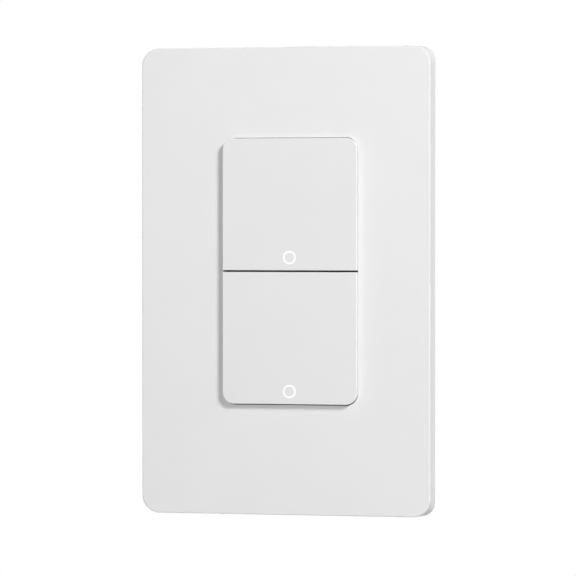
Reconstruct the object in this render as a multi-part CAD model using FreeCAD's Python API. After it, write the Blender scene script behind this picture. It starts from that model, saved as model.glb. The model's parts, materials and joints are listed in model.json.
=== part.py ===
import FreeCAD, Part
import os

# The frame: X to the right, Z up, Y into the wall; the wall's surface is the plane y = 0
# and the origin is midway between the two mounting holes on the yoke's back face.
# All sizes are in millimetres.
wall_y = 0.0
same_place = 1e-6

# Wall plate, a shell that clips over the snap frame
plate_width = 76.0
plate_height = 120.0
plate_depth = 6.1
plate_corner_radius = 3.5
plate_face_corner_radius = 4.6
plate_face_inset = 0.1
plate_edge_radius = 0.25
plate_front_wall = 2.0
plate_side_wall = 2.0
catch_reach = 0.8
catch_length = 12.0
catch_depth = 0.8
catch_gap = 0.1
side_catch_height = 30.0
pry_notch_width = 8.0
pry_notch_depth = 1.2

# The two keys, whose pair sits right of and above the middle of the plate
keys_right_of_middle = 1.52
keys_above_middle = 2.57
key_width = 35.2
key_height = 33.78
key_rise = 1.4
key_corner_radius = 3.0
key_edge_radius = 0.1
key_face_wall = 1.8
key_skirt_wall = 1.2
key_skirt_to_floor = 0.3
key_rib_wall = 0.8
key_rib_depth = 1.2
key_rib_spread = 11.0
key_travel = 0.7
key_to_key_gap = 0.45
key_side_to_plate = 0.08
key_top_to_plate = 0.15
key_foot_to_plate = 0.3
key_to_frame_gap = 0.3

# Hinge at the top of each key
hinge_below_top = 2.5
hinge_pin_radius = 0.8
hinge_pin_length = 1.8
hinge_fit = 0.05
hinge_ear_radius = 1.2
hinge_ear_wall = 2.0
hinge_slot_gap = 0.3

# Hooks that stop a key from swinging outwards
hook_spread = 8.0
hook_width = 4.0
hook_wall = 1.2
hook_barb = 0.6
hook_barb_depth = 0.7
hook_gap = 0.1
hook_slot_gap = 0.3

# Ring light near the foot of each key
ring_above_foot = 3.25
ring_outer_radius = 1.73
ring_inner_radius = 1.24
ring_cap_depth = 0.6
lens_flange_width = 7.0
lens_flange_height = 3.6
lens_flange_depth = 0.8
light_stem_radius = 1.2
light_stem_gap = 0.5
insert_fit = 0.02

# Key frame, the shallow tray that carries the keys
frame_side_wall = 3.0
frame_end_wall = 2.0
frame_floor = 1.0
frame_to_plate_gap = 0.2
board_post_radius = 2.0
board_post_side_inset = 4.0
board_post_end_inset = 6.5
leg_beside_window = 2.2
leg_z = 12.0
leg_wall = 1.2
leg_width = 5.6
leg_barb = 0.5
leg_barb_depth = 1.4
leg_gap = 0.2

# Yoke, the steel strap that is screwed to the wall box
yoke_thickness = 1.2
yoke_to_plate_end = 5.0
yoke_end_width = 38.0
yoke_inside_box = 0.25
yoke_beyond_box = 2.0
yoke_corner_radius = 3.0
yoke_window_width = 30.0
yoke_window_to_stem = 1.2
yoke_window_radius = 2.0
mounting_spacing = 83.3
mounting_hole_radius = 2.1
mounting_head_radius = 4.2

# Snap frame, screwed to the yoke inside the wall plate
snap_frame_gap = 0.3
frame_rib_depth = 1.0
frame_rib_wall = 1.0
frame_rib_inset = 1.2
frame_rib_radius = 1.2
frame_rib_to_yoke = 0.4
rung_count = 7
rung_inset = 8.5

# Back box
box_width = 44.5
box_height = 66.0
box_depth = 31.0
box_wall = 1.8
box_corner_radius = 2.5
box_edge_radius = 0.8
boss_radius = 3.0
label_width = 30.0
label_height = 24.0
label_depth = 0.4
label_z = 6.0
vent_count = 5
vent_pitch = 4.0
vent_height = 1.2
vent_length = 10.0
vent_start_y = 12.0
vent_middle_z = 2.0

# Terminals, set into the lower back corner of the box
terminal_count = 4
terminal_pitch = 7.2
terminal_room_width = 5.4
terminal_room_depth = 7.4
terminal_room_height = 6.1
terminal_end_wall = 1.3
terminal_front_wall = 1.4
terminal_block_height = 11.6
terminal_block_depth = 14.0
pocket_gap = 0.2
pocket_wall = 1.5
wire_bore_radius = 1.9
wire_bore_length = 4.0
wire_room = 4.2
clamp_thickness = 1.0
clamp_gap = 0.2
contact_thickness = 0.8
contact_width = 4.4
contact_tail_width = 2.4
contact_gap = 0.2
contact_above_pocket = 3.3
terminal_head_gap = 0.4
terminal_head_recess = 0.6

# Screws
screw_fit = 0.05
plate_screw_radius = 1.45
plate_screw_head_radius = 3.0
plate_screw_head_depth = 1.7
plate_screw_length = 4.8
plate_screw_x = 9.5
plate_screw_to_frame = 0.8
ground_screw_radius = 1.6
ground_screw_head_radius = 3.2
ground_screw_head_depth = 1.6
ground_screw_inset = 4.0
ground_screw_to_box = 1.8
housing_screw_radius = 1.25
housing_screw_head_radius = 2.3
housing_screw_head_depth = 1.8
housing_screw_side_inset = 3.65
housing_screw_end_inset = 3.2
housing_head_recess = 2.2
head_gap = 0.3
board_screw_radius = 0.9
board_screw_head_radius = 1.7
board_screw_head_depth = 1.2
board_screw_length = 2.8
terminal_screw_radius = 1.5
terminal_screw_head_radius = 2.3
terminal_screw_head_depth = 1.8
recess_width_share = 0.26
recess_length_share = 1.25
recess_depth_share = 0.5
head_round_share = 0.3

# Control board, right behind the yoke's window
control_board_to_window = 0.5
control_board_thickness = 1.2
control_board_y = 0.8
tact_width = 6.0
tact_height = 3.4
tact_edge_radius = 0.3
tact_hole_gap = 0.3
plunger_radius = 1.7
plunger_proud = 0.8
plunger_length = 1.8
plunger_travel = 0.5
plunger_fit = 0.05
plunger_above_foot = 9.28
key_post_radius = 1.5
key_post_gap = 0.1
led_width = 2.8
led_height = 1.4
led_depth = 0.7
led_to_stem_gap = 0.3
chip_width = 7.0
chip_depth = 1.0
chip_x = -4.0
chip_below_socket = 3.0
radio_width = 16.0
radio_height = 24.0
radio_thickness = 0.8
radio_below_top = 2.0
shield_width = 13.0
shield_height = 15.0
shield_depth = 2.2
shield_above_foot = 1.5
shield_edge_radius = 0.4

# Power board, near the back of the box
power_board_to_box = 0.6
power_board_above_pocket = 1.7
power_board_thickness = 1.6
pillar_height = 1.6
pillar_radius = 2.0
pillar_inset = 2.4
pillar_above_foot = 6.0
boss_notch_gap = 0.4
relay_height = 12.0
relay_depth = 15.5
relay_edge_radius = 0.6
relay_gap = 1.0
relay_side_inset = 1.35
relay_below_top = 6.1
row_below_relays = 2.5
core_width = 14.0
core_height = 10.0
core_depth = 13.0
core_x = -9.5
core_leg = 2.4
winding_gap = 0.2
capacitor_radius = 4.0
capacitor_length = 15.0
capacitor_edge_radius = 0.6
capacitor_x = 3.5
varistor_radius = 4.5
varistor_thickness = 3.6
varistor_x = 11.8
varistor_lead_radius = 0.4
varistor_lead_spread = 2.5
varistor_lead_length = 1.5
fuse_radius = 1.6
fuse_length = 9.0
fuse_cap_radius = 1.9
fuse_cap_length = 2.0
fuse_x = 17.4
rectifier_width = 4.2
rectifier_height = 4.6
rectifier_depth = 2.4
rectifier_beside_pins = 0.6
pin_count = 8
pin_pitch = 2.54
pin_radius = 0.32
pin_fit = 0.1
pin_row_above_foot = 5.0
pin_base_depth = 2.5
pin_base_height = 2.6
pin_in_socket = 6.0
socket_depth = 8.5

# Places that follow from the sizes above
plate_face_y = wall_y - plate_depth
plate_under_y = plate_face_y + plate_front_wall
yoke_front_y = wall_y - yoke_thickness
snap_frame_front_y = plate_under_y + snap_frame_gap
key_face_y = plate_face_y - key_rise
key_under_y = key_face_y + key_face_wall
frame_front_y = plate_under_y + frame_to_plate_gap
floor_front_y = yoke_front_y - frame_floor
key_skirt_y = floor_front_y - key_travel - key_skirt_to_floor
hinge_y = (frame_front_y + yoke_front_y) / 2
control_back_y = control_board_y + control_board_thickness
tact_front_y = control_board_y - tact_height
plunger_tip_y = tact_front_y - plunger_proud
led_front_y = control_board_y - led_depth
box_inner_y = box_depth - box_wall
power_back_y = box_inner_y - pillar_height
power_front_y = power_back_y - power_board_thickness
terminal_front_y = box_depth - terminal_block_depth
terminal_foot_z = -box_height / 2
terminal_top_z = terminal_foot_z + terminal_block_height
room_front_y = terminal_front_y + terminal_front_wall
room_back_y = room_front_y + terminal_room_depth
room_foot_z = terminal_foot_z + wire_bore_length
room_top_z = room_foot_z + terminal_room_height
clamp_front_y = room_front_y + contact_thickness + wire_room
wire_y = room_front_y + contact_thickness + wire_room / 2


def span(middle, width):
    """The low and high end of a width about its middle."""
    return (middle - width / 2, middle + width / 2)


def grown(limits, by):
    """A span made longer at both ends."""
    return (limits[0] - by, limits[1] + by)


def block(x_span, y_span, z_span):
    """A plain box between two limits along each axis."""
    low, high = zip(x_span, y_span, z_span)
    size = [top - bottom for bottom, top in zip(low, high)]
    return Part.makeBox(*size, FreeCAD.Vector(*low))


def bar_y(radius, x, z, y_span):
    """A round bar along Y."""
    start = FreeCAD.Vector(x, y_span[0], z)
    return Part.makeCylinder(radius, y_span[1] - y_span[0], start, FreeCAD.Vector(0, 1, 0))


def bar_x(radius, y, z, x_span):
    """A round bar along X."""
    start = FreeCAD.Vector(x_span[0], y, z)
    return Part.makeCylinder(radius, x_span[1] - x_span[0], start, FreeCAD.Vector(1, 0, 0))


def bar_z(radius, x, y, z_span):
    """A round bar along Z."""
    start = FreeCAD.Vector(x, y, z_span[0])
    return Part.makeCylinder(radius, z_span[1] - z_span[0], start, FreeCAD.Vector(0, 0, 1))


def is_near(value, places):
    """Whether a coordinate lies at one of some places."""
    return any(abs(value - place) < same_place for place in places)


def panel(x_span, y_span, z_span, radius, rounded_z=None):
    """A slab whose corners are rounded as seen from the front, at both ends or only at rounded_z."""
    slab = block(x_span, y_span, z_span)
    levels = z_span if rounded_z is None else rounded_z
    corners = []
    for edge in slab.Edges:
        first, last = edge.Vertexes
        if not is_near(first.Y, [last.Y]) and is_near(first.Z, levels):
            corners.append(edge)
    return slab.makeFillet(radius, corners)


def outline_at(shape, y):
    """The outer edge of the face that lies in the plane at y."""
    faces = [face for face in shape.Faces if all(is_near(point.Y, [y]) for point in face.Vertexes)]
    return faces[0].OuterWire


def rounded_at(shape, y, radius):
    """The shape with the edges that lie in the plane at y rounded."""
    edges = [edge for edge in shape.Edges if all(is_near(point.Y, [y]) for point in edge.Vertexes)]
    return shape.makeFillet(radius, edges)


def both_sides(x):
    """The two mirrored places of something that stands on each side of the middle."""
    return (-x, x)


def spread(count, pitch, middle=0.0):
    """Evenly spaced places about a middle."""
    first = middle - pitch * (count - 1) / 2
    return [first + pitch * index for index in range(count)]


def screw(x, z, seat_y, facing, radius, length, head_radius, head_depth):
    """A pan-head screw along Y with a cross recess; facing is the side its head is on."""
    seat = FreeCAD.Vector(x, seat_y, z)
    out = FreeCAD.Vector(0, facing, 0)
    top_y = seat_y + facing * head_depth
    head = Part.makeCylinder(head_radius, head_depth, seat, out)
    head = rounded_at(head, top_y, head_depth * head_round_share)
    shank = Part.makeCylinder(radius, length, seat, out.negative())
    return head.fuse(shank).cut(cross_recess(x, z, top_y, facing, head_radius, head_depth))


def cross_recess(x, z, top_y, facing, head_radius, head_depth):
    """The two crossed slots of a screw's drive."""
    width = head_radius * recess_width_share
    length = head_radius * recess_length_share
    floor_y = top_y - facing * head_depth * recess_depth_share
    depth = (min(top_y, floor_y), max(top_y, floor_y))
    level = block(span(x, length), depth, span(z, width))
    upright = block(span(x, width), depth, span(z, length))
    return [level, upright]


def export(name, shape):
    """Write one node's solids to its own file."""
    solids = shape.Solids
    whole = solids[0] if len(solids) == 1 else Part.makeCompound(solids)
    whole.exportStep("parts/" + name + ".step")


# Spans shared by pieces that fit each other
keys_x = span(keys_right_of_middle, key_width)
upper_key_foot = keys_above_middle + key_to_key_gap / 2
lower_key_top = keys_above_middle - key_to_key_gap / 2
upper_key_z = (upper_key_foot, upper_key_foot + key_height)
lower_key_z = (lower_key_top - key_height, lower_key_top)
both_keys_z = (lower_key_z[0], upper_key_z[1])
pocket_x = grown(keys_x, key_to_frame_gap)
pocket_z = grown(both_keys_z, key_to_frame_gap)
frame_x = grown(pocket_x, frame_side_wall)
frame_z = grown(pocket_z, frame_end_wall)
yoke_z = span(0.0, plate_height - 2 * yoke_to_plate_end)
box_x = span(0.0, box_width)
box_z = span(0.0, box_height)
yoke_middle_x = grown(box_x, -yoke_inside_box)
yoke_middle_z = grown(box_z, yoke_beyond_box)
terminal_x = spread(terminal_count, terminal_pitch)
terminal_block_x = (
    terminal_x[0] - terminal_room_width / 2 - terminal_end_wall,
    terminal_x[-1] + terminal_room_width / 2 + terminal_end_wall,
)
terminal_block_z = (terminal_foot_z, terminal_top_z)
terminal_axis_z = (room_foot_z + room_top_z) / 2
pocket_floor_y = terminal_front_y - pocket_gap
pocket_roof_z = terminal_top_z + pocket_gap
board_foot_z = pocket_roof_z + pocket_wall + power_board_above_pocket
power_x = grown(box_x, -box_wall - power_board_to_box)
power_z = (board_foot_z, box_z[1] - box_wall - power_board_to_box)
pin_row_z = board_foot_z + pin_row_above_foot
relay_width = power_x[1] - relay_side_inset - relay_gap / 2
relay_top_z = power_z[1] - relay_below_top
relay_z = (relay_top_z - relay_height, relay_top_z)
row_z = relay_z[0] - row_below_relays - core_height / 2


def hinge_z(key_z):
    """Height of a key's hinge axis."""
    return key_z[1] - hinge_below_top


def plunger_z(key_z):
    """Height of the switch plunger that a key presses."""
    return key_z[0] + plunger_above_foot


def ring_z(key_z):
    """Height of the middle of a key's ring light."""
    return key_z[0] + ring_above_foot


def yoke_window_z():
    """Height limits of the yoke's window, which lets both light stems through."""
    reach = light_stem_radius + yoke_window_to_stem - ring_z(lower_key_z)
    return (-reach, reach)


def control_z():
    """Height limits of the control board, just inside the yoke's window."""
    return grown(yoke_window_z(), -control_board_to_window)


def radio_z():
    """Height limits of the radio's board."""
    top = control_z()[1] - radio_below_top
    return (top - radio_height, top)


def hook_z(key_z):
    """Height limits of a key's hooks, which stand against its lower skirt."""
    foot = key_z[0] + key_skirt_wall
    return (foot, foot + hook_wall)


def hook_x():
    """Places of a key's two hooks."""
    return [keys_right_of_middle + side for side in both_sides(hook_spread)]


def mounting_z():
    """Heights of the two mounting holes."""
    return both_sides(mounting_spacing / 2)


def four_places(x, z):
    """The four mirrored places of something that stands in each corner."""
    return [(side, height) for side in both_sides(x) for height in both_sides(z)]


def plate_screw_places():
    """The four screws that hold the snap frame, beyond the ends of the key frame."""
    z = frame_z[1] + plate_screw_to_frame + plate_screw_head_radius
    return four_places(plate_screw_x, z)


def ground_screw_place():
    """The earthing screw, below the box and near the yoke's side."""
    x = ground_screw_inset - yoke_end_width / 2
    z = box_z[0] - ground_screw_to_box - ground_screw_head_radius
    return (x, z)


def housing_screw_places():
    """The four corners where the back box is screwed to the yoke."""
    return four_places(box_x[1] - housing_screw_side_inset, box_z[1] - housing_screw_end_inset)


def board_post_places():
    """The four posts that carry the control board."""
    x = yoke_window_width / 2 - board_post_side_inset
    return four_places(x, yoke_window_z()[1] - board_post_end_inset)


def leg_places():
    """The four legs by which the key frame clips into the yoke."""
    return four_places(yoke_window_width / 2 + leg_beside_window, leg_z)


def pillar_places():
    """The three pillars that carry the power board."""
    side_z = power_z[0] + pillar_above_foot
    sides = [(x, side_z) for x in both_sides(power_x[1] - pillar_inset)]
    return sides + [(0.0, power_z[1] - pillar_inset)]


def plate_catches():
    """Catches inside the plate's walls that grip the snap frame from behind."""
    y = (yoke_front_y + catch_gap, yoke_front_y + catch_gap + catch_depth)
    inner_x = plate_width / 2 - plate_side_wall
    inner_z = plate_height / 2 - plate_side_wall
    catches = []
    for side in both_sides(1):
        x = sorted((side * inner_x, side * (inner_x - catch_reach)))
        z = sorted((side * inner_z, side * (inner_z - catch_reach)))
        catches += [block(x, y, span(height, catch_length)) for height in both_sides(side_catch_height)]
        catches.append(block(span(0.0, catch_length), y, z))
    return catches


def make_wall_plate():
    """Hollow plate that narrows to the front, with a window for the keys and a notch to pry it off."""
    x = span(0.0, plate_width)
    z = span(0.0, plate_height)
    depth = (plate_face_y, wall_y)
    rim = panel(x, depth, z, plate_corner_radius)
    face = panel(grown(x, -plate_face_inset), depth, grown(z, -plate_face_inset), plate_face_corner_radius)
    outer = Part.makeLoft([outline_at(face, plate_face_y), outline_at(rim, wall_y)], True, True)
    outer = rounded_at(outer, plate_face_y, plate_edge_radius)
    inner_radius = plate_corner_radius - plate_side_wall
    hollow_x = grown(x, -plate_side_wall)
    hollow_z = grown(z, -plate_side_wall)
    hollow = panel(hollow_x, (plate_under_y, wall_y), hollow_z, inner_radius)
    window_x = grown(keys_x, key_side_to_plate)
    window_z = (both_keys_z[0] - key_foot_to_plate, both_keys_z[1] + key_top_to_plate)
    window_radius = key_corner_radius + key_top_to_plate
    window = panel(window_x, (plate_face_y, plate_under_y), window_z, window_radius)
    notch = block(span(0.0, pry_notch_width), (wall_y - pry_notch_depth, wall_y), (z[0], hollow_z[0]))
    return outer.cut([hollow, window, notch]).fuse(plate_catches()).removeSplitter()


def make_snap_frame():
    """Ribbed frame round the key frame, with room for the mounting screws' heads."""
    shrink = plate_side_wall + snap_frame_gap
    x = grown(span(0.0, plate_width), -shrink)
    z = grown(span(0.0, plate_height), -shrink)
    slab = panel(x, (snap_frame_front_y, yoke_front_y), z, plate_corner_radius - shrink)
    through = (snap_frame_front_y, yoke_front_y + frame_rib_depth)
    cuts = [block(grown(frame_x, snap_frame_gap), through, grown(frame_z, snap_frame_gap))]
    cuts += [bar_y(mounting_head_radius, 0.0, height, through) for height in mounting_z()]
    cuts += [countersink(*place) for place in plate_screw_places()]
    return slab.fuse(snap_frame_ribs(x, z)).cut(cuts).removeSplitter()


def snap_frame_ribs(frame_x_span, frame_z_span):
    """Ribs on the back of the snap frame: a ring near its edge and rungs, clear of the yoke."""
    y = (yoke_front_y, yoke_front_y + frame_rib_depth)
    ring_x = grown(frame_x_span, -frame_rib_inset)
    ring_z = grown(frame_z_span, -frame_rib_inset)
    ring = panel(ring_x, y, ring_z, frame_rib_radius)
    inside = block(grown(ring_x, -frame_rib_wall), y, grown(ring_z, -frame_rib_wall))
    rung_pitch = 2 * (ring_z[1] - rung_inset) / (rung_count - 1)
    rungs = [block(ring_x, y, span(z, frame_rib_wall)) for z in spread(rung_count, rung_pitch)]
    ends_x = grown(span(0.0, yoke_end_width), frame_rib_to_yoke)
    middle_x = grown(yoke_middle_x, frame_rib_to_yoke)
    middle_z = grown(yoke_middle_z, frame_rib_to_yoke)
    room = [block(ends_x, y, grown(yoke_z, frame_rib_to_yoke)), block(middle_x, y, middle_z)]
    return ring.cut(inside).fuse(rungs).cut(room)


def countersink(x, z):
    """Countersunk hole for a snap frame screw."""
    seat = FreeCAD.Vector(x, snap_frame_front_y, z)
    mouth_radius = plate_screw_head_radius + screw_fit
    hole_radius = plate_screw_radius + screw_fit
    cone = Part.makeCone(mouth_radius, hole_radius, plate_screw_head_depth, seat, FreeCAD.Vector(0, 1, 0))
    return cone.fuse(bar_y(hole_radius, x, z, (snap_frame_front_y, yoke_front_y)))


def make_snap_frame_screws():
    """Four countersunk screws with their heads flush in the snap frame."""
    y = (snap_frame_front_y, snap_frame_front_y + plate_screw_length)
    head_radius = plate_screw_head_radius
    head_depth = plate_screw_head_depth
    screws = []
    for x, z in plate_screw_places():
        seat = FreeCAD.Vector(x, y[0], z)
        head = Part.makeCone(head_radius, plate_screw_radius, head_depth, seat, FreeCAD.Vector(0, 1, 0))
        shank = bar_y(plate_screw_radius, x, z, y)
        screws.append(head.fuse(shank).cut(cross_recess(x, z, y[0], -1, head_radius, head_depth)))
    return Part.makeCompound(screws)


def leg_slot(x, z):
    """Slot in the yoke for one leg of the key frame."""
    width = leg_wall + leg_barb + leg_gap * 2
    middle = x + leg_barb / 2 if x > 0 else x - leg_barb / 2
    return block(span(middle, width), (yoke_front_y, wall_y), span(z, leg_width + leg_gap * 2))


def make_yoke():
    """Steel strap with a window for the control board and all its screw holes."""
    y = (yoke_front_y, wall_y)
    ends = panel(span(0.0, yoke_end_width), y, yoke_z, yoke_corner_radius)
    middle = panel(yoke_middle_x, y, yoke_middle_z, yoke_corner_radius)
    cuts = [panel(span(0.0, yoke_window_width), y, yoke_window_z(), yoke_window_radius)]
    cuts += [bar_y(mounting_hole_radius, 0.0, z, y) for z in mounting_z()]
    cuts += [bar_y(plate_screw_radius + screw_fit, x, z, y) for x, z in plate_screw_places()]
    cuts += [bar_y(housing_screw_radius + screw_fit, x, z, y) for x, z in housing_screw_places()]
    cuts += [leg_slot(x, z) for x, z in leg_places()]
    cuts.append(bar_y(ground_screw_radius + screw_fit, *ground_screw_place(), y))
    return ends.fuse(middle).cut(cuts).removeSplitter()


def make_ground_screw():
    """Earthing screw on the back of the yoke."""
    head_radius = ground_screw_head_radius
    head_depth = ground_screw_head_depth
    place = (*ground_screw_place(), wall_y, 1)
    return screw(*place, ground_screw_radius, yoke_thickness, head_radius, head_depth)


def frame_leg(x, z):
    """Barbed leg that passes through the yoke and grips it from behind."""
    side = 1 if x > 0 else -1
    tip_y = wall_y + leg_gap + leg_barb_depth
    stem = block(span(x, leg_wall), (yoke_front_y, tip_y), span(z, leg_width))
    barb_x = sorted((x, x + side * (leg_wall / 2 + leg_barb)))
    barb = block(barb_x, (wall_y + leg_gap, tip_y), span(z, leg_width))
    return stem.fuse(barb)


def hinge_sockets(key_z):
    """Holes in the frame's side walls for one key's hinge pins."""
    radius = hinge_pin_radius + hinge_fit
    left = (keys_x[0] - hinge_pin_length - hinge_fit, keys_x[0])
    right = (keys_x[1], keys_x[1] + hinge_pin_length + hinge_fit)
    return [bar_x(radius, hinge_y, hinge_z(key_z), limits) for limits in (left, right)]


def floor_openings(key_z):
    """Openings in the frame's floor for one key's ears, hooks, light stem and switch."""
    y = (floor_front_y, yoke_front_y)
    middle = keys_right_of_middle
    ear_z = span(hinge_z(key_z), 2 * (hinge_ear_radius + hinge_slot_gap))
    ear_width = hinge_ear_wall + hinge_slot_gap
    ears_x = [(pocket_x[0], keys_x[0] + ear_width), (keys_x[1] - ear_width, pocket_x[1])]
    low, high = hook_z(key_z)
    hooks_z = grown((low, high + hook_barb), hook_slot_gap)
    tact_hole = span(0.0, tact_width + 2 * tact_hole_gap)
    tact_x = [middle + limit for limit in tact_hole]
    tact_z = [plunger_z(key_z) + limit for limit in tact_hole]
    cuts = [block(limits, y, ear_z) for limits in ears_x]
    cuts += [block(grown(span(x, hook_width), hook_slot_gap), y, hooks_z) for x in hook_x()]
    cuts.append(bar_y(light_stem_radius + light_stem_gap, middle, ring_z(key_z), y))
    cuts.append(block(tact_x, y, tact_z))
    return cuts


def make_key_frame():
    """Tray with hinge sockets, clip legs and posts for the control board."""
    tray = block(frame_x, (frame_front_y, yoke_front_y), frame_z)
    cuts = [block(pocket_x, (frame_front_y, floor_front_y), pocket_z)]
    cuts += [bar_y(mounting_head_radius, 0.0, z, (frame_front_y, yoke_front_y)) for z in mounting_z()]
    for key_z in (upper_key_z, lower_key_z):
        cuts += hinge_sockets(key_z) + floor_openings(key_z)
    posts = [bar_y(board_post_radius, x, z, (yoke_front_y, control_board_y)) for x, z in board_post_places()]
    legs = [frame_leg(x, z) for x, z in leg_places()]
    pilot_radius = board_screw_radius + screw_fit
    pilots = [bar_y(pilot_radius, x, z, (yoke_front_y, control_board_y)) for x, z in board_post_places()]
    return tray.cut(cuts).fuse(posts + legs).cut(pilots).removeSplitter()


def hinge_ear(x_span, axis_z):
    """Ear at one side of a key that carries its hinge pin."""
    root = block(x_span, (frame_front_y, hinge_y), span(axis_z, 2 * hinge_ear_radius))
    return root.fuse(bar_x(hinge_ear_radius, hinge_y, axis_z, x_span))


def key_hook(x, z_span):
    """Hook that passes through the frame's floor and stops the key behind it."""
    barb_y = yoke_front_y + hook_gap
    tip_y = barb_y + hook_barb_depth
    stem = block(span(x, hook_width), (key_under_y, tip_y), z_span)
    barb = block(span(x, hook_width), (barb_y, tip_y), (z_span[1], z_span[1] + hook_barb))
    return stem.fuse(barb)


def key_ribs(key_z):
    """Two upright ribs that stiffen the back of a key's face."""
    z = grown(key_z, -key_skirt_wall)
    y = (key_under_y, key_under_y + key_rib_depth)
    return [
        block(span(keys_right_of_middle + x, key_rib_wall), y, z) for x in both_sides(key_rib_spread)
    ]


def make_key(key_z, rounded_z):
    """Key: a face with a skirt, hinge pins, hooks, ribs and the post that presses the switch."""
    inner_z = grown(key_z, -key_skirt_wall)
    inner_rounded_z = inner_z[1:] if rounded_z == key_z[1] else inner_z[:1]
    outer = panel(keys_x, (key_face_y, key_skirt_y), key_z, key_corner_radius, [rounded_z])
    outer = rounded_at(outer, key_face_y, key_edge_radius)
    inner_x = grown(keys_x, -key_skirt_wall)
    inner_radius = key_corner_radius - key_skirt_wall
    hollow = panel(inner_x, (key_under_y, key_skirt_y), inner_z, inner_radius, inner_rounded_z)
    axis_z = hinge_z(key_z)
    ears_x = [(keys_x[0], keys_x[0] + hinge_ear_wall), (keys_x[1] - hinge_ear_wall, keys_x[1])]
    left_pin = (keys_x[0] - hinge_pin_length, keys_x[0] + hinge_ear_wall)
    right_pin = (keys_x[1] - hinge_ear_wall, keys_x[1] + hinge_pin_length)
    post_y = (key_under_y, plunger_tip_y - key_post_gap)
    adds = [hinge_ear(limits, axis_z) for limits in ears_x]
    adds += [bar_x(hinge_pin_radius, hinge_y, axis_z, limits) for limits in (left_pin, right_pin)]
    adds += [key_hook(x, hook_z(key_z)) for x in hook_x()]
    adds += key_ribs(key_z)
    adds.append(bar_y(key_post_radius, keys_right_of_middle, plunger_z(key_z), post_y))
    key = outer.cut(hollow).fuse(adds)
    ring_hole = (key_face_y, key_under_y)
    hole = bar_y(ring_outer_radius + insert_fit, keys_right_of_middle, ring_z(key_z), ring_hole)
    return key.cut(hole).removeSplitter()


def make_ring_lens(key_z):
    """Clear insert: a disc through the key, a flange behind it and a stem towards the light."""
    x = keys_right_of_middle
    z = ring_z(key_z)
    stem_end_y = led_front_y - key_travel - led_to_stem_gap
    flange_y = (key_under_y, key_under_y + lens_flange_depth)
    disc = bar_y(ring_outer_radius, x, z, (key_face_y, key_under_y))
    flange = block(span(x, lens_flange_width), flange_y, span(z, lens_flange_height))
    stem = bar_y(light_stem_radius, x, z, (key_under_y, stem_end_y))
    seat = bar_y(ring_inner_radius + insert_fit, x, z, (key_face_y, key_face_y + ring_cap_depth))
    return disc.fuse([flange, stem]).cut(seat).removeSplitter()


def make_ring_cap(key_z):
    """Small round cap that covers the middle of the lens and leaves its rim as a ring."""
    depth = (key_face_y, key_face_y + ring_cap_depth)
    return bar_y(ring_inner_radius, keys_right_of_middle, ring_z(key_z), depth)


def make_tact_switch(key_z):
    """Housing of the push switch under a key, with a round well for its plunger."""
    x = span(keys_right_of_middle, tact_width)
    z = span(plunger_z(key_z), tact_width)
    well_floor_y = plunger_tip_y + plunger_length + plunger_travel + plunger_fit
    well_radius = plunger_radius + plunger_fit
    housing = panel(x, (tact_front_y, control_board_y), z, tact_edge_radius)
    well = bar_y(well_radius, keys_right_of_middle, plunger_z(key_z), (tact_front_y, well_floor_y))
    return housing.cut(well)


def make_tact_plunger(key_z):
    """Round plunger of the push switch."""
    y = (plunger_tip_y, plunger_tip_y + plunger_length)
    return bar_y(plunger_radius, keys_right_of_middle, plunger_z(key_z), y)


def make_led(key_z):
    """Small light on the control board behind a ring."""
    x = span(keys_right_of_middle, led_width)
    return block(x, (led_front_y, control_board_y), span(ring_z(key_z), led_height))


def make_control_board():
    """Circuit board that carries the push switches, lights and radio."""
    y = (control_board_y, control_back_y)
    board = block(grown(span(0.0, yoke_window_width), -control_board_to_window), y, control_z())
    return board.cut([bar_y(board_screw_radius + screw_fit, x, z, y) for x, z in board_post_places()])


def make_board_screws(places, seat_y, facing):
    """Small screws that hold a circuit board at the given places."""
    sizes = (board_screw_radius, board_screw_length, board_screw_head_radius, board_screw_head_depth)
    return Part.makeCompound([screw(x, z, seat_y, facing, *sizes) for x, z in places])


def make_control_chip():
    """Processor on the back of the control board."""
    y = (control_back_y, control_back_y + chip_depth)
    top = pin_row_z - pin_base_height / 2 - chip_below_socket
    return block(span(chip_x, chip_width), y, (top - chip_width, top))


def make_radio_board():
    """Radio module's own small board."""
    y = (control_back_y, control_back_y + radio_thickness)
    return block(span(0.0, radio_width), y, radio_z())


def make_radio_shield():
    """Metal can over the radio."""
    foot_z = radio_z()[0] + shield_above_foot
    front_y = control_back_y + radio_thickness
    y = (front_y, front_y + shield_depth)
    can = panel(span(0.0, shield_width), y, (foot_z, foot_z + shield_height), shield_edge_radius)
    return rounded_at(can, y[1], shield_edge_radius)


def pin_row_width():
    """Width of the connector that joins the two boards."""
    return pin_pitch * pin_count


def make_board_socket():
    """Socket strip on the back of the control board."""
    y = (control_back_y, control_back_y + socket_depth)
    strip = block(span(0.0, pin_row_width()), y, span(pin_row_z, pin_base_height))
    hole_y = (y[1] - pin_in_socket - pin_fit, y[1])
    holes = [bar_y(pin_radius + pin_fit, x, pin_row_z, hole_y) for x in spread(pin_count, pin_pitch)]
    return strip.cut(holes)


def make_board_pins():
    """Pin strip on the power board that reaches into the socket."""
    base_y = (power_front_y - pin_base_depth, power_front_y)
    base = block(span(0.0, pin_row_width()), base_y, span(pin_row_z, pin_base_height))
    pin_y = (control_back_y + socket_depth - pin_in_socket, base_y[1])
    return base.fuse([bar_y(pin_radius, x, pin_row_z, pin_y) for x in spread(pin_count, pin_pitch)])


def make_power_board():
    """Circuit board that carries the relays and the power supply."""
    y = (power_front_y, power_back_y)
    board = block(power_x, y, power_z)
    cuts = [bar_y(boss_radius + boss_notch_gap, x, z, y) for x, z in housing_screw_places() if z > 0]
    cuts += [bar_y(board_screw_radius + screw_fit, x, z, y) for x, z in pillar_places()]
    return board.cut(cuts)


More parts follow.
